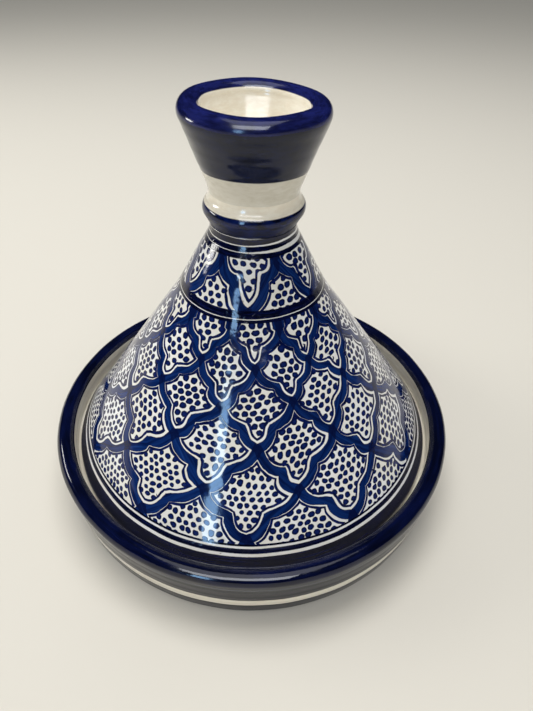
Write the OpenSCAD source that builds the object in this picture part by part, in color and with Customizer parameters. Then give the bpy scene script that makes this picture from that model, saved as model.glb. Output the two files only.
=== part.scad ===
// Glazed earthenware tagine: a shallow base dish with a conical lid.
// Every piece is thrown on a wheel, so each one is a profile turned about the Z axis.
// The table is at z = 0 and the Z axis is the axis of the pot.

/* [Base dish] */
// Diameter across the rolled rim
base_d = 250; // [240:2:270]
// Height from the table to the top of the rim
base_h = 40; // [36:1:50]
// Thickness of the rolled rim
rim_t = 10; // [8:0.5:12]
// How far the outer wall leans in between rim and foot
wall_lean = 3.4; // [0:0.2:5]
// How far the foot is set in from the bottom of the outer wall
foot_inset = 2.6; // [1.6:0.2:8]
// Width of the foot ring
foot_w = 10; // [8:1:14]
// Height of the hollow inside the foot ring
foot_hollow = 2.5; // [1:0.5:4]
// Thickness of the dish floor
floor_t = 7; // [5:0.5:9]

/* [Gallery] */
// How far the ledge for the lid lies below the top of the rim
ledge_drop = 16; // [14:1:20]
// Width of the ledge
ledge_w = 9; // [8:0.5:11]
// Gap all round between the edge of the lid and the gallery wall
lid_gap = 2.4; // [1.5:0.1:4]

/* [Lid] */
// Height of the lid from its seat up to the joint under the collar
lid_h = 144; // [130:1:160]
// Wall thickness of the cone
lid_wall = 6; // [5:0.5:7]
// Diameter of the neck
neck_d = 44; // [40:0.2:48]
// Diameter of the cone at the soft bend in its side
bend_d = 84; // [80:0.5:88]
// Height of that bend above the seat
bend_h = 103; // [98:1:108]
// Height of the upright band at the edge of the lid
edge_h = 4.6; // [3:0.2:6]

/* [Knob] */
// Diameter across the rim of the cup
knob_d = 68.6; // [62:0.2:72]
// Height from the joint under the collar to the top of the cup
knob_h = 57; // [52:0.5:62]
// Thickness of the rolled rim of the cup
knob_rim_t = 10.4; // [8:0.2:11]
// Lean of the outside of the cup, in degrees from upright
cup_lean = 19.6; // [18:0.2:22]
// Depth of the hollow in the cup
cup_depth = 29; // [18:1:30]
// Diameter across the collar
collar_d = 51; // [50:0.2:54]
// Thickness of the collar
collar_t = 9.6; // [8:0.2:10]

/* [Smoothness] */
// Facets round each turned piece in the preview
facets = 144; // [72:12:180]

/* [Hidden] */

// Points on each curved stretch of a profile
steps = 12;
// Size of the small rounding on a thrown edge
soft = 1.5;

base_r = base_d / 2;
rim_r = rim_t / 2;
rim_z = base_h - rim_r;
gallery_r = base_r - rim_t;
ledge_z = base_h - ledge_drop;
ledge_r = gallery_r - ledge_w;
wall_r = base_r - wall_lean;
foot_r = wall_r - foot_inset;
// Height at which the outer wall turns under into the foot
turn_z = 3;
floor_z = foot_hollow + floor_t;
// Half-width of the flat middle of the dish
flat_r = 78;

lid_r = gallery_r - lid_gap;
neck_r = neck_d / 2;
joint_z = ledge_z + lid_h;
// Length of the straight neck, and of the bend from the neck into the cone
neck_straight = 2;
neck_bend = 7.5;
neck_flare = 1.7;
flank_top = [neck_r + neck_flare, joint_z - neck_bend];
flank_mid = [bend_d / 2, ledge_z + bend_h];
flank_end = [lid_r - soft, ledge_z + edge_h + soft];
upper_run = unit(flank_mid - flank_top);
lower_run = unit(flank_end - flank_mid);
upper_in = [upper_run[1], -upper_run[0]];
lower_in = [lower_run[1], -lower_run[0]];
upper_slope = upper_run[0] / upper_run[1];
neck_corner = [neck_r, flank_top[1] - neck_flare / upper_slope];
// How far from its middle the soft bend in the side begins
bend_reach = 8;
// The hollow of the cone ends in a rounded roof under a plug of clay
plug_z = joint_z - 9;
roof_drop = 4;
roof_flat = 6;
inner_top = flank_top + lid_wall * upper_in + roof_drop * upper_run;
roof_corner = [inner_top[0] + (plug_z - inner_top[1]) * upper_slope, plug_z];

cup_rim_r = knob_rim_t / 2;
cup_rim = [knob_d / 2 - cup_rim_r, joint_z + knob_h - cup_rim_r];
cup_side = cup_rim + cup_rim_r * [cos(cup_lean), -sin(cup_lean)];
collar_r = collar_t / 2;
// Height above the joint at which the roll of the collar starts
collar_lift = 2.6;
collar = [collar_d / 2 - collar_r, joint_z + collar_lift + collar_r];
// Angles on the roll, from outward, where the flare under it and the hollow above it meet it
flare_at = -30;
hollow_at = 55;
// Height above the joint at which the straight side of the cup ends
waist_z = joint_z + 19;
waist_r = cup_side[0] - (cup_side[1] - waist_z) * tan(cup_lean);
// Corner of the hollow between the collar and the cup
hollow_corner = [waist_r - 1.6, waist_z - 4];
cup_floor_z = joint_z + knob_h - cup_depth;
cup_floor_r = 6;

// A curve that leaves start towards corner and arrives at end from corner
function bend(start, corner, end) =
    [for (i = [0:steps])
        let (t = i / steps)
        pow(1 - t, 2) * start + 2 * t * (1 - t) * corner + pow(t, 2) * end];

// A direction of length 1
function unit(v) = v / norm(v);

// The side of the cone, moved in by a distance
function flank(by) = concat(
    bend(flank_mid - bend_reach * upper_run + by * upper_in,
         flank_mid + by * unit(upper_in + lower_in),
         flank_mid + bend_reach * lower_run + by * lower_in),
    [flank_end + by * lower_in]);

// The same curve walked the other way
function reversed(points) = [for (i = [len(points) - 1:-1:0]) points[i]];

// A point on the roll of the collar
function on_collar(angle) = collar + collar_r * [cos(angle), sin(angle)];

// A solid turned about the Z axis from the profile given as children
module turned() {
    rotate_extrude($fn = facets) children();
}

// Shallow dish with a rolled rim, a gallery for the lid and a foot ring
module base_dish() {
    color("midnightblue") turned() {
        translate([base_r - rim_r, rim_z]) circle(r = rim_r, $fn = 48);
        polygon(concat(
            [[0, foot_hollow], [foot_r - foot_w, foot_hollow]],
            [[foot_r - foot_w + foot_hollow, 0], [foot_r, 0]],
            bend([foot_r + 0.4, 0.2], [wall_r - 0.3, 0.6], [wall_r, turn_z]),
            [[base_r, rim_z], [gallery_r, rim_z]],
            bend([gallery_r, ledge_z + soft], [gallery_r, ledge_z], [gallery_r - soft, ledge_z]),
            bend([ledge_r + soft, ledge_z], [ledge_r, ledge_z], [ledge_r - 0.5, ledge_z - soft]),
            bend([ledge_r - 1, ledge_z - 2 * soft], [ledge_r - 4, floor_z], [flat_r, floor_z]),
            [[0, floor_z]]
        ));
    }
}

// Hollow cone that drops into the gallery, closed by a plug under the knob
module lid_cone() {
    color("royalblue") turned() polygon(concat(
        [[0, joint_z], [neck_r, joint_z]],
        bend([neck_r, joint_z - neck_straight], neck_corner, flank_top),
        flank(0),
        bend(flank_end, [lid_r, ledge_z + edge_h], [lid_r, ledge_z + edge_h - soft]),
        bend([lid_r, ledge_z + soft], [lid_r, ledge_z], [lid_r - soft, ledge_z]),
        [[lid_r - lid_wall, ledge_z]],
        reversed(flank(lid_wall)),
        bend(inner_top, roof_corner, roof_corner - [roof_flat, 0]),
        [[0, plug_z]]
    ));
}

// Collar and open cup, joined to the cone with slip before firing
module lid_knob() {
    color("navy") turned() {
        translate(cup_rim) circle(r = cup_rim_r, $fn = 48);
        translate(collar) circle(r = collar_r, $fn = 48);
        polygon(concat(
            [[0, joint_z], [neck_r, joint_z], on_collar(flare_at)],
            bend(on_collar(hollow_at), hollow_corner, [waist_r, waist_z]),
            [cup_side, cup_rim, cup_rim - [cup_rim_r, 0]],
            bend(cup_rim - [cup_rim_r, 2], [cup_floor_r + 8, cup_floor_z], [cup_floor_r, cup_floor_z]),
            [[0, cup_floor_z]]
        ));
    }
}

base_dish();
lid_cone();
lid_knob();
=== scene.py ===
import math

import bpy
import numpy as np
from mathutils import Matrix, Vector


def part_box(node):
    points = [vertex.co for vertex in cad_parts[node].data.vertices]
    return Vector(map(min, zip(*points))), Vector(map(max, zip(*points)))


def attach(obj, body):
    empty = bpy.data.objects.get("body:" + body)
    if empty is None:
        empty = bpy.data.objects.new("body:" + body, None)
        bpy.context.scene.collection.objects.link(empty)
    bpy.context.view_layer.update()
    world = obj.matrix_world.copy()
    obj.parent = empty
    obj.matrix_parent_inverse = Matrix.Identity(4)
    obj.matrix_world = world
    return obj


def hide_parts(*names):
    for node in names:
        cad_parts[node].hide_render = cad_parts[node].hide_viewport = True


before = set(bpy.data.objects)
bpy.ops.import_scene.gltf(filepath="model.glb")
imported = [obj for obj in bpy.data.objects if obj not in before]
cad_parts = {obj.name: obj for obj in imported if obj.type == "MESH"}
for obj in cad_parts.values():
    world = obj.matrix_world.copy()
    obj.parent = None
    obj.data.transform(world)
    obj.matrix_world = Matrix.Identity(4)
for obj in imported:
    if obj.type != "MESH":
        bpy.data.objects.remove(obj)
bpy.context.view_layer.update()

# Sizes are in millimetres and are turned into metres where a mesh or lamp is made.
MM = 0.001
TURN = 2 * math.pi

dish_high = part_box("base_dish")[1] / MM
lid_low, lid_high = (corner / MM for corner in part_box("lid_cone"))
knob_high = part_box("lid_knob")[1] / MM

RIM_R = 5.0            # radius of the dish's rolled rim
NECK_R = 22.0          # radius of the joint between the cone and the knob
dish_r = dish_high.x
rim_z = dish_high.z - RIM_R
gallery_r = dish_r - 2 * RIM_R
seat_z = lid_low.z
lid_r = lid_high.x
joint_z = lid_high.z
knob_r = knob_high.x
knob_top = knob_high.z


# ---------------------------------------------------------------- profiles and meshes

def bend(start, corner, end, steps=16):
    """A curve that leaves start towards corner and arrives at end from corner."""
    start, corner, end = (np.array(point, float) for point in (start, corner, end))
    t = np.linspace(0, 1, steps + 1)[:, None]
    return list((1 - t) ** 2 * start + 2 * t * (1 - t) * corner + t ** 2 * end)


def arc(centre, radius, first, last, steps=24):
    """Part of a circle between two angles in degrees, measured from outward."""
    angles = np.radians(np.linspace(first, last, steps + 1))
    return [np.array(centre) + radius * np.array((math.cos(a), math.sin(a))) for a in angles]


def line(start, end, steps=8):
    """Evenly spaced points on a straight stretch."""
    start, end = np.array(start, float), np.array(end, float)
    return [start + (end - start) * t for t in np.linspace(0, 1, steps + 1)]


def joined(*stretches):
    """One profile from stretches, and the length along it at which each one starts."""
    points, marks = [], []
    for stretch in stretches:
        for k, point in enumerate(stretch):
            if not points or np.linalg.norm(point - points[-1]) > 1e-6:
                points.append(np.array(point, float))
            if k == 0:
                marks.append(len(points) - 1)
    points = np.array(points)
    steps = np.linalg.norm(np.diff(points, axis=0), axis=1)
    lengths = np.concatenate(([0], np.cumsum(steps)))
    return points, lengths, [lengths[k] for k in marks]


def turned(name, points, lengths, around, shape, material):
    """A piece turned about Z from a profile that starts and ends on the axis."""
    angles = np.arange(around) * TURN / around
    verts, slants = [], []
    for (radius, height), length in zip(points[1:-1], lengths[1:-1]):
        out, up = shape(angles, radius, height)
        ring = np.stack((out * np.sin(angles), -out * np.cos(angles), up), axis=1)
        verts.append(ring)
        slants.append(np.full(around, length))
    poles = np.array(((0, 0, points[0][1]), (0, 0, points[-1][1])))
    verts = np.concatenate(verts + [poles]) * MM
    slants = np.concatenate(slants + [np.array((lengths[0], lengths[-1]))])
    rings = len(points) - 2
    first_pole, last_pole = rings * around, rings * around + 1
    faces = []
    for k in range(around):
        after = (k + 1) % around
        faces.append((first_pole, after, k))
        for ring in range(rings - 1):
            low, high = ring * around, (ring + 1) * around
            faces.append((low + k, low + after, high + after, high + k))
        last = (rings - 1) * around
        faces.append((last_pole, last + k, last + after))
    mesh = bpy.data.meshes.new(name)
    mesh.from_pydata(verts.tolist(), [], faces)
    mesh.attributes.new("slant", "FLOAT", "POINT").data.foreach_set("value", slants)
    mesh.polygons.foreach_set("use_smooth", np.ones(len(mesh.polygons), bool))
    mesh.materials.append(material)
    mesh.validate()
    piece = bpy.data.objects.new(name, mesh)
    bpy.context.scene.collection.objects.link(piece)
    return piece


def step(value, low, high):
    """0 below low, 1 above high and smooth between."""
    t = min(1.0, max(0.0, (value - low) / (high - low)))
    return t * t * (3 - 2 * t)


def thrown(seed, oval=0.2, ring_depth=0.05, ring_pitch=6.5, lumps=18, lump=0.08):
    """How a wheel-thrown wall leaves its ideal shape: oval, finger rings and soft lumps."""
    turns = np.random.default_rng(seed).uniform(0, TURN, 7)

    def shape(angles, radius, height):
        grip = min(1.0, radius / 20)
        out = radius + grip * oval * (
            0.6 * np.cos(2 * angles + turns[0]) + 0.4 * np.cos(3 * angles + turns[1]))
        spiral = TURN * height / ring_pitch + angles
        rings = np.sin(spiral + turns[2]) + 0.5 * np.sin(1.7 * spiral + turns[3] - 0.7 * angles)
        soft = np.sin(lumps * angles + height / 5 + turns[4]) * np.sin(
            (lumps // 2) * angles - height / 7 + turns[5])
        # the ledge and the faces that touch stay level
        free = grip * step(height, seat_z + 3, seat_z + 10)
        sunk = np.cos((lumps * 2 // 3) * angles + radius / 6 + turns[6]) - 1
        return out + grip * (ring_depth * rings + lump * soft), height + free * lump * 0.6 * sunk

    return shape


def leaning(shape, low, high):
    """Adds the knob's lean: off centre to the left, and its rim highest at the back left."""
    highest = math.radians(-140)
    collar_off, cup_off, tilt = 0.8, 0.4, 1.5

    def leaned(angles, radius, height):
        out, up = shape(angles, radius, height)
        off = collar_off - (collar_off - cup_off) * step(height, low, low + 12)
        out = out - off * min(1.0, radius / 15) * np.sin(angles)
        drop = 1 - np.exp(1.2 * (np.cos(angles - highest) - 1))
        drop = drop + 0.12 * np.cos(3 * angles + 1.0) + 0.08 * np.cos(5 * angles) + 0.02
        return out, up - tilt * step(height, low + 22, high) * drop

    return leaned


def slumped(shape, low, high):
    """Adds the cone's slump: its upper part stands off centre to the left."""
    most_off, neck_back = 1.3, 0.5

    def slumping(angles, radius, height):
        out, up = shape(angles, radius, height)
        off = most_off * step(height, low, high - 40)
        off -= neck_back * step(height, high - 32, high)
        return out - off * min(1.0, radius / 15) * np.sin(angles), up

    return slumping


# ---------------------------------------------------------------- arithmetic in node trees

class Value:
    """A number in a node tree. Python arithmetic on it adds Math nodes."""

    def __init__(self, tree, socket):
        self.tree = tree
        self.socket = socket

    def apply(self, operation, *others):
        """One Math node of this operation, fed by this number and the others."""
        node = self.tree.nodes.new("ShaderNodeMath")
        node.operation = operation
        for slot, given in zip(node.inputs, (self, *others)):
            plug(self.tree, slot, given)
        return Value(self.tree, node.outputs[0])

    def __add__(self, other):
        return self.apply("ADD", other)

    def __sub__(self, other):
        return self.apply("SUBTRACT", other)

    def __mul__(self, other):
        return self.apply("MULTIPLY", other)

    def __truediv__(self, other):
        return self.apply("DIVIDE", other)

    def __rsub__(self, other):
        return self.apply("MULTIPLY", -1.0) + other

    def __rtruediv__(self, other):
        return self.apply("POWER", -1.0) * other

    def __neg__(self):
        return self.apply("MULTIPLY", -1.0)

    def __abs__(self):
        return self.apply("ABSOLUTE")

    def __mod__(self, other):
        return self.apply("FLOORED_MODULO", other)

    __radd__ = __add__


def plug(tree, slot, given):
    """Links a value to an input, or writes a plain number or colour on it."""
    if isinstance(given, Value):
        tree.links.new(given.socket, slot)
    elif isinstance(given, bpy.types.NodeSocket):
        tree.links.new(given, slot)
    else:
        slot.default_value = given


def least(a, b):
    """The smaller of two numbers."""
    return a.apply("MINIMUM", b)


def most(a, b):
    """The larger of two numbers."""
    return a.apply("MAXIMUM", b)


def below(a, b):
    """1 where a is less than b, else 0."""
    return a.apply("LESS_THAN", b) if isinstance(a, Value) else b.apply("GREATER_THAN", a)


def either(choice, when_one, when_zero):
    """A blend of two numbers by a number from 0 to 1."""
    node = choice.tree.nodes.new("ShaderNodeMix")
    plug(choice.tree, node.inputs["Factor"], choice)
    plug(choice.tree, node.inputs["A"], when_zero)
    plug(choice.tree, node.inputs["B"], when_one)
    return Value(choice.tree, node.outputs["Result"])


def ramp(value, low, high, to_low=0.0, to_high=1.0):
    """A smooth step from to_low at low to to_high at high."""
    node = value.tree.nodes.new("ShaderNodeMapRange")
    node.interpolation_type = "SMOOTHSTEP"
    for slot, given in zip(("Value", "From Min", "From Max", "To Min", "To Max"),
                           (value, low, high, to_low, to_high)):
        plug(value.tree, node.inputs[slot], given)
    return Value(value.tree, node.outputs["Result"])


def band(value, centre, half_width, soft):
    """1 within half_width of centre, fading to 0 over the width of soft."""
    return ramp(abs(value - centre) - half_width, -soft, soft, 1.0, 0.0)


GLAZE_IOR = 1.45       # how strongly the clear glaze bends light


class Material:
    """A node material with a Principled shader and helpers for its textures."""

    def __init__(self, name):
        self.material = bpy.data.materials.new(name)
        self.material.use_nodes = True
        self.tree = self.material.node_tree
        self.shader = self.tree.nodes["Principled BSDF"]
        in_mm = self.tree.nodes.new("ShaderNodeVectorMath")
        in_mm.operation = "SCALE"
        in_mm.inputs["Scale"].default_value = 1 / MM
        object_place = self.tree.nodes.new("ShaderNodeTexCoord").outputs["Object"]
        self.tree.links.new(object_place, in_mm.inputs[0])
        self.place = in_mm.outputs["Vector"]
        apart = self.tree.nodes.new("ShaderNodeSeparateXYZ")
        self.tree.links.new(self.place, apart.inputs[0])
        self.x = Value(self.tree, apart.outputs["X"])
        self.y = Value(self.tree, apart.outputs["Y"])

    def attribute(self, name):
        """A number stored on the mesh."""
        node = self.tree.nodes.new("ShaderNodeAttribute")
        node.attribute_name = name
        return Value(self.tree, node.outputs["Fac"])

    def vector(self, x, y, z=0.0):
        """Three numbers as one vector."""
        node = self.tree.nodes.new("ShaderNodeCombineXYZ")
        for slot, given in zip(node.inputs, (x, y, z)):
            plug(self.tree, slot, given)
        return node.outputs[0]

    def noise(self, size, detail=2.0, rough=0.5, place=None, fourth=None):
        """Noise from 0 to 1 whose features are about size millimetres across."""
        node = self.tree.nodes.new("ShaderNodeTexNoise")
        node.noise_dimensions = "4D" if fourth is not None else "3D"
        plug(self.tree, node.inputs["Vector"], self.place if place is None else place)
        if fourth is not None:
            plug(self.tree, node.inputs["W"], fourth)
        node.inputs["Scale"].default_value = 1 / size
        node.inputs["Detail"].default_value = detail
        node.inputs["Roughness"].default_value = rough
        return Value(self.tree, node.outputs["Fac"]), node.outputs["Color"]

    def parts(self, colour):
        """A colour as three numbers."""
        node = self.tree.nodes.new("ShaderNodeSeparateColor")
        self.tree.links.new(colour, node.inputs[0])
        return [Value(self.tree, out) for out in node.outputs]

    def chance(self, place):
        """Three random numbers from 0 to 1 that depend only on place."""
        node = self.tree.nodes.new("ShaderNodeTexWhiteNoise")
        node.noise_dimensions = "3D"
        self.tree.links.new(place, node.inputs["Vector"])
        return self.parts(node.outputs["Color"])

    def blend(self, share, colour_zero, colour_one):
        """A blend of two colours by a number from 0 to 1."""
        node = self.tree.nodes.new("ShaderNodeMix")
        node.data_type = "RGBA"
        plug(self.tree, node.inputs[0], share)
        plug(self.tree, node.inputs[6], colour_zero)
        plug(self.tree, node.inputs[7], colour_one)
        return node.outputs[2]

    def finish(self, colour, roughness, height):
        """Connects the colour, the roughness and a height in millimetres."""
        plug(self.tree, self.shader.inputs["Base Color"], colour)
        plug(self.tree, self.shader.inputs["Roughness"], roughness)
        self.shader.inputs["IOR"].default_value = GLAZE_IOR
        bump = self.tree.nodes.new("ShaderNodeBump")
        bump.inputs["Strength"].default_value = 1.0
        bump.inputs["Distance"].default_value = MM
        plug(self.tree, bump.inputs["Height"], height)
        self.tree.links.new(bump.outputs["Normal"], self.shader.inputs["Normal"])
        return self.material


def srgb(red, green, blue):
    """A linear colour from sRGB values between 0 and 255."""
    def linear(value):
        value /= 255
        return value / 12.92 if value <= 0.04045 else ((value + 0.055) / 1.055) ** 2.4
    return (linear(red), linear(green), linear(blue), 1.0)


LID_WHITE = srgb(231, 231, 229)
LID_WHITE_WARM = srgb(226, 223, 214)
CREAM = srgb(238, 232, 216)
CREAM_WARM = srgb(230, 221, 202)
COBALT = srgb(14, 42, 100)
COBALT_THICK = srgb(6, 22, 66)
COBALT_THIN = srgb(30, 66, 132)
DAB = srgb(17, 34, 92)
DAB_EDGE = srgb(6, 15, 58)
NAVY = srgb(7, 15, 54)
NAVY_THICK = srgb(4, 7, 26)
INK_THIN = srgb(13, 28, 86)
RIM_NAVY = srgb(8, 15, 50)
RIM_BLUE = srgb(26, 32, 90)
WALL_NAVY = srgb(16, 20, 34)
COLLAR_NAVY = srgb(10, 26, 80)
RIM_BLUE_THICK = srgb(14, 18, 58)
CUP_NAVY = srgb(8, 19, 52)
CUP_NAVY_THICK = srgb(4, 10, 30)
# a darker cream for the knob's waist wall: painted shade, where the wall faces down
SHADED_WAIST_CREAM = srgb(218, 213, 199)
SHADED_WAIST_CREAM_WARM = srgb(208, 202, 185)
WALL_LINE = srgb(110, 116, 124)
WALL_LINE_DEEP = srgb(80, 86, 98)
CLAY = srgb(196, 160, 122)
CLAY_DEEP = srgb(170, 130, 96)
SPECK = srgb(120, 84, 50)
FLOOR = srgb(212, 207, 196)


# ---------------------------------------------------------------- glaze and painted pattern

# Lengths run down the slope from the end of the straight neck, and turns is the number of
# cells round the lid. Row y of the upper lattice starts at first + pitch * y, and row y of
# the main one at first + pitch * y + growth * y * y.
MAIN_LATTICE = dict(turns=11, phase=math.radians(1), first=41.7, pitch=18.0, growth=0.685)
UPPER_LATTICE = dict(turns=6, phase=math.radians(-5), first=6.7, pitch=26.9)
RING = 35.6                # where the upper zone gives way to the main one
UPPER_ZONE = (8.2, 32.8)   # where the pattern of the upper zone starts and ends
MAIN_ZONE = (39.0, 151.5)  # the same in the main zone
CUSP = 0.44            # where the two scallops of a rib meet, as a share of its length
CUSP_UPPER = 0.54      # the same in the upper zone
SCALLOP = 0.075        # how far a scallop bulges, as a share of a cell
CUSP_IN = 0.05         # how far the cusp pokes into the cell above
RIB_W = 5.1            # width of a rib
OUTLINE_W = 1.45       # width of the pen line inside a cell
DOT_R = 1.62           # radius of a brush dot
DOT_ACROSS = 4.4       # from dot to dot along a row
DOT_DOWN = 3.7         # from row to row
EDGE = 0.14            # half the width over which a painted edge fades
# place and half the width of the thin lines at the ring and at the lid's edge
THIN_LINES = ((37.1, 0.2), (153.3, 0.6), (157.5, 0.85))


def scallops(along, cusp):
    """Sideways shift of a rib made of two arcs, and its slope, at a share of its length."""
    share = least(along / cusp, (1 - along) / (1 - cusp))
    shift = (share * math.pi).apply("SINE") * SCALLOP - share * CUSP_IN
    steep = (share * math.pi).apply("COSINE") * (SCALLOP * math.pi) - CUSP_IN
    return shift, steep * ramp(along - cusp, -0.08, 0.08, 1 / cusp, -1 / (1 - cusp))


def wall_distance(p, q, kx, ky, cusp):
    """Distances in millimetres to the nearest rib of each family, and the cell's two numbers."""
    shift_p, slope_p = scallops(q.apply("FRACT"), cusp)
    shift_q, slope_q = scallops(p.apply("FRACT"), 1 - cusp)
    a = p - shift_p
    b = q + shift_q
    m, n = a.apply("FLOOR"), b.apply("FLOOR")
    in_a, in_b = a - m, b - n
    half_ky = ky * 0.5
    steep_p = ((kx * (1 - slope_p)).apply("POWER", 2.0)
               + (half_ky * (1 + slope_p)).apply("POWER", 2.0)).apply("SQRT")
    steep_q = ((kx * (1 + slope_q)).apply("POWER", 2.0)
               + (half_ky * (1 - slope_q)).apply("POWER", 2.0)).apply("SQRT")
    to_p = least(in_a, 1 - in_a) / steep_p
    to_q = least(in_b, 1 - in_b) / steep_q
    return to_p, to_q, m, n


def painted_lid(neck_end):
    """Cobalt lattice, outlines and brush dots under a clear glaze."""
    made = Material("lid_painted_glaze")
    slant = made.attribute("slant") - neck_end
    radius = most((made.x * made.x + made.y * made.y).apply("SQRT"), 5.0)
    angle = made.x.apply("ARCTAN2", -made.y)

    drift = made.parts(made.noise(34, 1.0)[1])
    shake = made.parts(made.noise(7, 1.0)[1])
    # the hand drifts and shakes, and the lowest rows are shifted sideways
    side = (drift[0] - 0.5) * 7.0 + (shake[0] - 0.5) * 1.5 + ramp(slant, 105, 150, 0.0, 5.5)
    down = (drift[1] - 0.5) * 7.0 + (shake[1] - 0.5) * 1.5
    s = slant + down
    a = angle + side / radius

    row, lat = UPPER_LATTICE, MAIN_LATTICE
    upper = below(slant, RING)
    turns = either(upper, float(row["turns"]), float(lat["turns"]))
    phase = either(upper, row["phase"], lat["phase"])
    x = (a - phase) * turns / TURN + 0.5
    root = (most(s - lat["first"], -20.0) * (4 * lat["growth"]) + lat["pitch"] ** 2).apply("SQRT")
    y_lower = (root - lat["pitch"]) / (2 * lat["growth"])
    y_upper = (s - row["first"]) / row["pitch"]
    y_free = either(upper, y_upper, y_lower)
    y = most(y_free, 0.0)
    ky = either(upper, 1 / row["pitch"], 1 / root)
    kx = turns / (radius * TURN)
    cusp = either(upper, CUSP_UPPER, CUSP)
    p, q = x + y * 0.5, x - y * 0.5

    to_p, to_q, m, n = wall_distance(p, q, kx, ky, cusp)
    to_wall = least(to_p, to_q)

    # place within the cell, from -1 to 1 between its tips, and in millimetres
    across = x - (m + n + 1) * 0.5
    under = y - (m - n)
    across_mm, under_mm = across / kx, (y_free - (m - n)) / ky
    cell = made.vector(m % turns, n % turns, upper)
    luck = made.chance(cell)

    # the white gap between rib and outline is widest towards one side of each cell
    lean = (luck[0] - 0.5) * 1.8 + 0.8
    toward = across * 2 * lean.apply("COSINE") + under * lean.apply("SINE")
    gap = ramp(toward, -0.3, 0.7, 0.98, 2.15) + (made.noise(9, 1.0)[0] - 0.5) * 0.8
    # the brush is lighter where the cells are small
    light = either(upper, 1.0, ramp(slant, 36, 120, 0.68, 1.0))
    rib_half = light * (RIB_W / 2)
    gap = gap * light
    brush = made.noise(1.6, 2.0)[0] - 0.5
    edge = rib_half + brush * 0.35
    on_p = ramp(to_p - edge, -EDGE, EDGE, 1.0, 0.0)
    on_q = ramp(to_q - edge, -EDGE, EDGE, 1.0, 0.0)
    inside = to_wall - rib_half - gap
    pen = OUTLINE_W / 2 + (made.noise(5, 2.0)[0] - 0.5) * 0.5
    outline = ramp(abs(inside) - pen, -0.12, 0.12, 1.0, 0.0)

    # brush dots in staggered rows that run level in each cell
    level = under_mm + (luck[1] - 0.5) * 3 + across_mm * (luck[2] - 0.5) * 0.22
    row_no = (level / DOT_DOWN).apply("ROUND")
    stagger = (row_no % 2.0) * 0.5 + luck[2]
    column = across_mm / DOT_ACROSS + stagger
    col_no = column.apply("ROUND")
    seed = made.vector(col_no, row_no, m % turns + (n % turns) * 17 + upper * 311)
    toss = made.chance(seed)
    off_x = (column - col_no) * DOT_ACROSS + (toss[0] - 0.5) * 1.1
    off_y = level - row_no * DOT_DOWN + (toss[1] - 0.5) * 1.0
    far = (off_x * off_x * 0.94 + off_y * off_y).apply("SQRT")
    dot_r = DOT_R + (toss[2] - 0.5) * 0.3 + (luck[2] - 0.5) * 0.25 + brush * 0.8
    dot = ramp(far - dot_r, -EDGE, EDGE, 1.0, 0.0)
    # a dot is left out where its middle would fall outside the outline
    centre_x = x - off_x * kx
    centre_y = most(y_free - off_y * ky, 0.0)
    dot_p, dot_q, dot_m, dot_n = wall_distance(
        centre_x + centre_y * 0.5, centre_x - centre_y * 0.5, kx, ky, cusp)
    same = band(dot_m + dot_n * 0.37, m + n * 0.37, 0.1, 0.05)
    room = least(dot_p, dot_q) - rib_half - gap
    dot = dot * same * below(0.5, room)

    def streak(across_rib, along_rib):
        """Brush marks along a rib, from 0 to 1."""
        turn_a = across_rib * TURN / turns
        turn_b = along_rib * TURN / turns
        place = made.vector(turn_a.apply("COSINE") * 75, turn_a.apply("SINE") * 75,
                            turn_b.apply("COSINE") * 5)
        return made.noise(2.4, 3.0, 0.6, place, turn_b.apply("SINE") * 2)[0]

    tone_p, tone_q = streak(p, q), streak(q, p)
    tone = either(below(to_p, to_q), tone_p, tone_q)
    wash = made.blend(ramp(tone, 0.36, 0.6), COBALT_THICK, COBALT)
    wash = made.blend(ramp(tone, 0.6, 0.78), wash, COBALT_THIN)
    wash = made.blend(ramp(to_wall / rib_half, 0.6, 1.0) * 0.6, wash, COBALT_THICK)
    wash = made.blend(on_p * on_q * 0.8, wash, NAVY)
    rib = most(on_p, on_q)

    body = made.blend(ramp(made.noise(22)[0], 0.35, 0.7), LID_WHITE, LID_WHITE_WARM)
    specks = ramp(made.noise(2.2, 0.0)[0], 0.83, 0.88)
    body = made.blend(specks * 0.5, body, SPECK)
    ink = made.blend(ramp(made.noise(3, 2.0)[0], 0.35, 0.65), NAVY, INK_THIN)
    dabs = made.blend(ramp(far, 0.2, 1.5), DAB, DAB_EDGE)
    panel = made.blend(dot, body, dabs)
    panel = made.blend(outline, panel, ink)
    panel = made.blend(rib, panel, wash)

    # level bands and lines, laid down as the pot turned on the wheel
    steady = slant + (made.noise(30, 1.0)[0] - 0.5) * 1.0 + brush * 0.25
    streaky = made.noise(1.2, 3.0, 0.6, made.vector(angle.apply("COSINE") * 6,
                                                   angle.apply("SINE") * 6, slant))[0]
    navy = made.blend(ramp(streaky, 0.35, 0.65), NAVY_THICK, NAVY)
    # the lines under the collar thicken towards the right
    swell = ramp(angle, -0.5, 1.0)
    lines = most(band(steady, 2.2 - swell * 0.8, 0.22 + swell * 0.3, 0.15),
                 band(steady, 5.2 - swell * 0.2, 0.16 + swell * 0.8, 0.15))
    lines = most(lines, band(steady, -1.4, 0.15, 0.15) * ramp(angle, -0.2, 0.3, 0.8, 0.0))
    for at, half in THIN_LINES:
        lines = most(lines, band(steady, at, half, EDGE))
    banded = made.blend(lines, navy, body)
    in_upper, in_main = (band(steady, (start + end) / 2, (end - start) / 2, EDGE)
                         for start, end in (UPPER_ZONE, MAIN_ZONE))
    colour = made.blend(most(in_upper, in_main), banded, panel)

    gloss = ramp(made.noise(16)[0], 0.3, 0.7, 0.05, 0.11)
    relief = (rib + outline + dot) * 0.02 + made.noise(1.1, 1.0)[0] * 0.012
    relief = relief + made.noise(6, 1.0)[0] * 0.10
    return made.finish(colour, gloss, relief)


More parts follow.
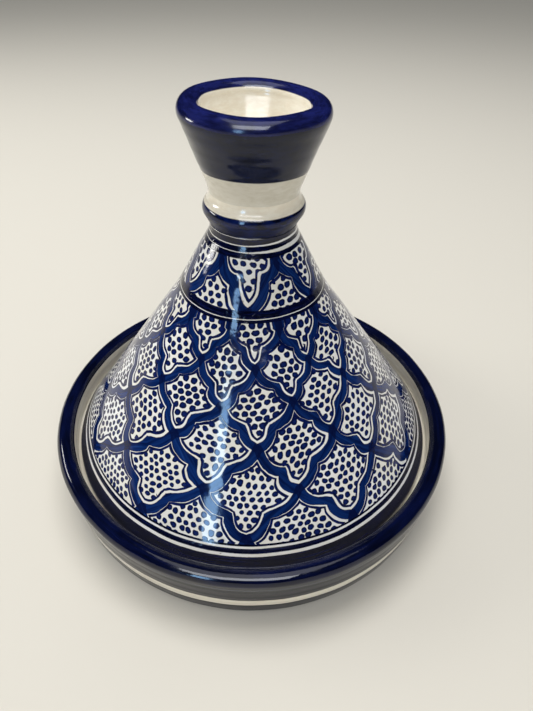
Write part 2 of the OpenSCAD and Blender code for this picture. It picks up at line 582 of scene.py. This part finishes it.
def cream_glaze(name):
    """Plain glazed cream with pinholes and faint specks."""
    made = Material(name)
    body = made.blend(ramp(made.noise(24)[0], 0.35, 0.7), CREAM, CREAM_WARM)
    specks = ramp(made.noise(2.0, 0.0)[0], 0.82, 0.88)
    body = made.blend(specks * 0.6, body, SPECK)
    gloss = ramp(made.noise(14)[0], 0.3, 0.7, 0.08, 0.18)
    relief = made.noise(7, 1.0)[0] * 0.12 + made.noise(1.3, 1.0)[0] * 0.02
    return made.finish(body, gloss, relief)


def zoned_glaze(name, zones, soft=0.25, wobble=0.5, gloss=(0.06, 0.14), dull_until=None):
    """Bands of glaze along a profile. Each zone is (length where it ends, colour, darker).

    Where a zone ends may be a function of the angle, and the last zone has no end.
    The glaze is duller up to dull_until.
    """
    made = Material(name)
    at = made.attribute("slant") + (made.noise(18, 2.0)[0] - 0.5) * wobble
    angle = made.x.apply("ARCTAN2", -made.y)
    streaky = made.noise(1.6, 3.0, 0.6, made.vector(angle.apply("COSINE") * 8,
                                                   angle.apply("SINE") * 8, at))[0]
    cloudy = made.noise(20, 2.0)[0]
    colour = began = None
    for until, bright, deep in zones:
        tone = made.blend(ramp(streaky * 0.6 + cloudy * 0.4, 0.38, 0.62), deep, bright)
        if colour is None:
            colour = tone
        else:
            colour = made.blend(ramp(at - began, -soft, soft), colour, tone)
        began = until(angle) if callable(until) else until
    gloss = ramp(made.noise(14)[0], 0.3, 0.7, *gloss)
    if dull_until is not None:
        gloss = gloss + ramp(at - dull_until, -1.5, 1.5, 0.24, 0.0)
    relief = made.noise(7, 1.0)[0] * 0.10 + made.noise(1.3, 1.0)[0] * 0.012
    return made.finish(colour, gloss, relief)


# ---------------------------------------------------------------- the pieces

AROUND = 288           # points round each turned piece
SOFT = 1.5             # size of the small rounding on a thrown edge


def make_dish():
    """Shallow dish with a rolled rim, a gallery for the lid and a foot ring."""
    wall_lean, turn_z, ledge_w = 3.4, 3.0, 9
    foot_inset, foot_w, foot_hollow = 2.6, 10.0, 2.5
    floor_z, flat_r = 9.5, 78.0
    wall_r = dish_r - wall_lean
    foot_r = wall_r - foot_inset
    foot_in = foot_r - foot_w
    ledge_r = gallery_r - ledge_w
    gallery, ledge = (gallery_r, seat_z), (ledge_r, seat_z)
    points, lengths, marks = joined(
        line((0, foot_hollow), (foot_in, foot_hollow), 12),
        bend((foot_in, foot_hollow), (foot_in + 0.5, 0.2), (foot_in + foot_hollow, 0)),
        line((foot_in + foot_hollow, 0), (foot_r, 0), 4),
        bend((foot_r, 0), (wall_r - 0.2, 0.3), (wall_r, turn_z), 16),
        line((wall_r, turn_z), (dish_r, rim_z), 30),
        arc((dish_r - RIM_R, rim_z), RIM_R, 0, 180, 40),
        line((gallery_r, rim_z), (gallery_r, seat_z + SOFT), 12),
        bend((gallery_r, seat_z + SOFT), gallery, (gallery_r - SOFT, seat_z)),
        line((gallery_r - SOFT, seat_z), (ledge_r + SOFT, seat_z), 8),
        bend((ledge_r + SOFT, seat_z), ledge, (ledge_r - 0.5, seat_z - SOFT)),
        bend((ledge_r - 1, seat_z - 2 * SOFT), (ledge_r - 4, floor_z), (flat_r, floor_z), 24),
        line((flat_r, floor_z), (0, floor_z), 24),
    )
    foot_edge, wall, rim_in = marks[3], marks[4] - turn_z, marks[6]
    zones = (
        (foot_edge + 0.6, CLAY, CLAY_DEEP),
        (wall + 10.0, WALL_NAVY, NAVY_THICK),
        (wall + 17.0, CREAM, CREAM_WARM),
        (wall + 31.0, WALL_NAVY, NAVY_THICK),
        (wall + 31.8, WALL_LINE, WALL_LINE_DEEP),
        (wall + 34.8, WALL_NAVY, NAVY_THICK),
        (rim_in - 0.4, RIM_NAVY, NAVY_THICK),
        (None, CREAM, CREAM_WARM),
    )
    glaze = zoned_glaze("dish_glaze", zones)
    return turned("dish", points, lengths, AROUND, thrown(1), glaze)


def make_lid():
    """Hollow cone that drops into the gallery, closed by a plug under the knob."""
    wall_t, edge_h = 6.0, 4.6
    neck_straight, neck_bend, neck_flare = 2, 7.5, 1.7
    bend_r, bend_h, bend_reach = 42.0, 103, 8
    plug_t, roof_drop, roof_flat = 9, 4, 6
    top = np.array((NECK_R + neck_flare, joint_z - neck_bend))
    middle = np.array((bend_r, seat_z + bend_h))
    end = np.array((lid_r - SOFT, seat_z + edge_h + SOFT))
    upper = (middle - top) / np.linalg.norm(middle - top)
    lower = (end - middle) / np.linalg.norm(end - middle)
    upper_in = wall_t * np.array((upper[1], -upper[0]))
    lower_in = wall_t * np.array((lower[1], -lower[0]))
    corner = (NECK_R, top[1] - neck_flare * upper[1] / upper[0])
    above, beneath = middle - bend_reach * upper, middle + bend_reach * lower
    neck_end = (NECK_R, joint_z - neck_straight)
    plug_z = joint_z - plug_t
    inner_top = top + upper_in + roof_drop * upper
    roof = np.array((inner_top[0] + (plug_z - inner_top[1]) * upper[0] / upper[1], plug_z))
    roof_edge = roof - (roof_flat, 0)
    points, lengths, marks = joined(
        line((0, joint_z), (NECK_R, joint_z), 4),
        line((NECK_R, joint_z), neck_end, 3),
        bend(neck_end, corner, top, 12),
        line(top, above, 26),
        bend(above, middle, beneath, 12),
        line(beneath, end, 84),
        bend(end, (lid_r, seat_z + edge_h), (lid_r, seat_z + edge_h - SOFT), 8),
        line((lid_r, seat_z + edge_h - SOFT), (lid_r, seat_z + SOFT), 3),
        bend((lid_r, seat_z + SOFT), (lid_r, seat_z), (lid_r - SOFT, seat_z), 8),
        line((lid_r - SOFT, seat_z), (lid_r - wall_t, seat_z), 4),
        line(end + lower_in, beneath + lower_in, 44),
        bend(beneath + lower_in, middle + (upper_in + lower_in) / 2, above + upper_in, 8),
        line(above + upper_in, inner_top, 10),
        bend(inner_top, roof, roof_edge, 8),
        line(roof_edge, (0, plug_z), 4),
    )
    straight_end, seat_mark = marks[2], marks[9]
    shape = slumped(thrown(2, ring_depth=0.015, lumps=13, lump=0.06), seat_z, joint_z)
    lid = turned("lid", points, lengths, AROUND, shape, painted_lid(straight_end))
    lid.data.materials.append(cream_glaze("lid_inside_glaze"))
    # everything past the seat edge is the plain inside
    slants = np.empty(len(lid.data.vertices))
    lid.data.attributes["slant"].data.foreach_get("value", slants)
    for face in lid.data.polygons:
        if min(slants[v] for v in face.vertices) >= seat_mark - 0.01:
            face.material_index = 1
    return lid


def make_knob():
    """Collar and open cup, joined to the cone before firing."""
    rim_r, lean = 5.2, 19.6
    collar_r, collar_out, collar_lift = 4.8, 25.5, 2.6
    waist_h, cup_depth, cup_floor_r = 19, 29, 6
    # angles on the collar's roll where the flare under it and the hollow above it meet it
    flare, hollow = -30, 55
    rim = np.array((knob_r - rim_r, knob_top - rim_r))
    side = rim + rim_r * np.array((math.cos(math.radians(lean)), -math.sin(math.radians(lean))))
    collar = np.array((collar_out - collar_r, joint_z + collar_lift + collar_r))
    waist_z = joint_z + waist_h
    waist_r = side[0] - (side[1] - waist_z) * math.tan(math.radians(lean))
    cup_z = knob_top - cup_depth
    roll = arc(collar, collar_r, flare, hollow, 26)
    points, lengths, marks = joined(
        line((0, joint_z), (NECK_R, joint_z), 4),
        line((NECK_R, joint_z), roll[0], 6),
        roll,
        bend(roll[-1], (waist_r - 1.6, waist_z - 4), (waist_r, waist_z), 16),
        line((waist_r, waist_z), side, 30),
        arc(rim, rim_r, -lean, 180, 48),
        bend(rim - (rim_r, 0), (cup_floor_r + 8, cup_z), (cup_floor_r, cup_z), 30),
        line((cup_floor_r, cup_z), (0, cup_z), 4),
    )

    def on_roll(degrees):
        """Length along the profile at an angle on the collar's roll."""
        return marks[2] + collar_r * math.radians(degrees - flare)

    def waist_line(angle):
        """Where the cream ends and the cup's navy starts, highest at the front."""
        return marks[4] + 8.0 + angle.apply("COSINE") * 1.8

    inside = marks[5] + rim_r * math.radians(175)
    zones = (
        (on_roll(36), COLLAR_NAVY, NAVY_THICK),
        (marks[3] + 4.5, CREAM, CREAM_WARM),
        # the waist wall below the ledge takes the darker cream, a painted shade
        (waist_line, SHADED_WAIST_CREAM, SHADED_WAIST_CREAM_WARM),
        (marks[5] + 1.5, CUP_NAVY, CUP_NAVY_THICK),
        (inside - 0.3, RIM_BLUE, RIM_BLUE_THICK),
        (None, CREAM, CREAM_WARM),
    )
    glaze = zoned_glaze("knob_glaze", zones, gloss=(0.10, 0.18), dull_until=on_roll(-5))
    shape = thrown(3, oval=0.1, ring_depth=0.03, lumps=5, lump=0.14)
    shape = leaning(shape, joint_z, knob_top - rim_r)
    return turned("knob", points, lengths, AROUND, shape, glaze)


for make, node, body, slot in (
    (make_dish, "base_dish", "base", "dish_glaze"),
    (make_lid, "lid_cone", "lid", "lid_painted_glaze"),
    (make_knob, "lid_knob", "lid", "knob_glaze"),
):
    piece = make()
    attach(piece, body)
    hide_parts(node)


# ---------------------------------------------------------------- floor, light and camera

def make_floor():
    """A plain pale floor."""
    reach = 6.0
    corners = [(-reach, -reach, 0), (reach, -reach, 0), (reach, reach, 0), (-reach, reach, 0)]
    mesh = bpy.data.meshes.new("floor")
    mesh.from_pydata(corners, [], [(0, 1, 2, 3)])
    floor = bpy.data.objects.new("floor", mesh)
    bpy.context.scene.collection.objects.link(floor)
    plain = bpy.data.materials.new("floor_plain")
    plain.use_nodes = True
    shader = plain.node_tree.nodes["Principled BSDF"]
    shader.inputs["Base Color"].default_value = FLOOR
    shader.inputs["Roughness"].default_value = 0.9
    mesh.materials.append(plain)


def make_light(name, azimuth, elevation, width, height, radiance, colour=(1, 1, 1), distance=1.6):
    """A soft rectangular lamp that faces the pot. Azimuth 0 is in front, 90 to the right."""
    lamp = bpy.data.lights.new(name, "AREA")
    lamp.shape = "RECTANGLE"
    lamp.size, lamp.size_y = width, height
    lamp.energy = radiance * math.pi * width * height
    lamp.color = colour
    placed = bpy.data.objects.new(name, lamp)
    a, e = math.radians(azimuth), math.radians(elevation)
    back = Vector((math.sin(a) * math.cos(e), -math.cos(a) * math.cos(e), math.sin(e)))
    aim = Vector((0, 0, 0.1))
    placed.location = aim + back * distance
    placed.rotation_mode = "QUATERNION"
    placed.rotation_quaternion = (-back).to_track_quat("-Z", "Y")
    placed.visible_camera = False
    bpy.context.scene.collection.objects.link(placed)
    return placed


def make_world():
    """Even light from all round that adds no highlight."""
    world = bpy.data.worlds.new("studio")
    bpy.context.scene.world = world
    world.use_nodes = True
    background = world.node_tree.nodes["Background"]
    background.inputs["Color"].default_value = (0.84, 0.86, 0.87, 1)
    background.inputs["Strength"].default_value = 0.42
    world.cycles_visibility.glossy = False


def make_camera():
    """A viewpoint in front of the pot and above it, close by."""
    ahead, above = 238.6, 247.6 + rim_z
    pitch, yaw, roll = (math.radians(angle) for angle in (40.76, 1.85, 1.61))
    # the focal length and the long side of the frame are in one unit, whichever it is
    focal, long_side, sensor = 510.0, 711.0, 36.0
    look = Vector((math.sin(yaw) * math.cos(pitch), math.cos(yaw) * math.cos(pitch),
                   -math.sin(pitch)))
    level = Vector((math.cos(yaw), -math.sin(yaw), 0))
    up = level.cross(look)
    right = level * math.cos(roll) + up * math.sin(roll)
    up = up * math.cos(roll) - level * math.sin(roll)
    camera = bpy.data.cameras.new("camera")
    camera.sensor_width = sensor
    camera.lens = focal / long_side * sensor
    camera.clip_start = 0.01
    turn = Matrix((right, up, -look)).transposed().to_4x4()
    placed = bpy.data.objects.new("camera", camera)
    placed.matrix_world = Matrix.Translation(Vector((0, -ahead, above)) * MM) @ turn
    bpy.context.scene.collection.objects.link(placed)
    bpy.context.scene.camera = placed


make_floor()
make_world()
front = make_light("front", azimuth=-6, elevation=46, width=1.2, height=0.75,
                   radiance=9.0, colour=(0.93, 0.96, 1.0))
top = make_light("top", azimuth=-6, elevation=82, width=1.3, height=1.2,
                 radiance=2.0, colour=(0.96, 0.97, 1.0))
strip = make_light("strip", azimuth=-23, elevation=13.5, width=0.21, height=0.62,
                   radiance=14.0, colour=(0.36, 0.64, 1.0))
glint = make_light("glint", azimuth=-100, elevation=17, width=0.12, height=0.05,
                   radiance=16, colour=(1.0, 0.99, 0.95), distance=0.45)
left = make_light("left", azimuth=-101, elevation=22, width=1.0, height=0.4,
                  radiance=7, colour=(1.0, 0.99, 0.95))
fill = make_light("fill", azimuth=5, elevation=36, width=1.2, height=0.9, radiance=2.0)
sky = make_light("sky", azimuth=-170, elevation=76, width=1.1, height=0.8, radiance=7.2)
# four lamps make only highlights, and the other three only the even light and the shadows
for lamp in (front, top, strip, glint):
    lamp.visible_diffuse = False
for lamp in (left, fill, sky):
    lamp.visible_glossy = False
make_camera()
bpy.context.scene.view_settings.view_transform = "Standard"
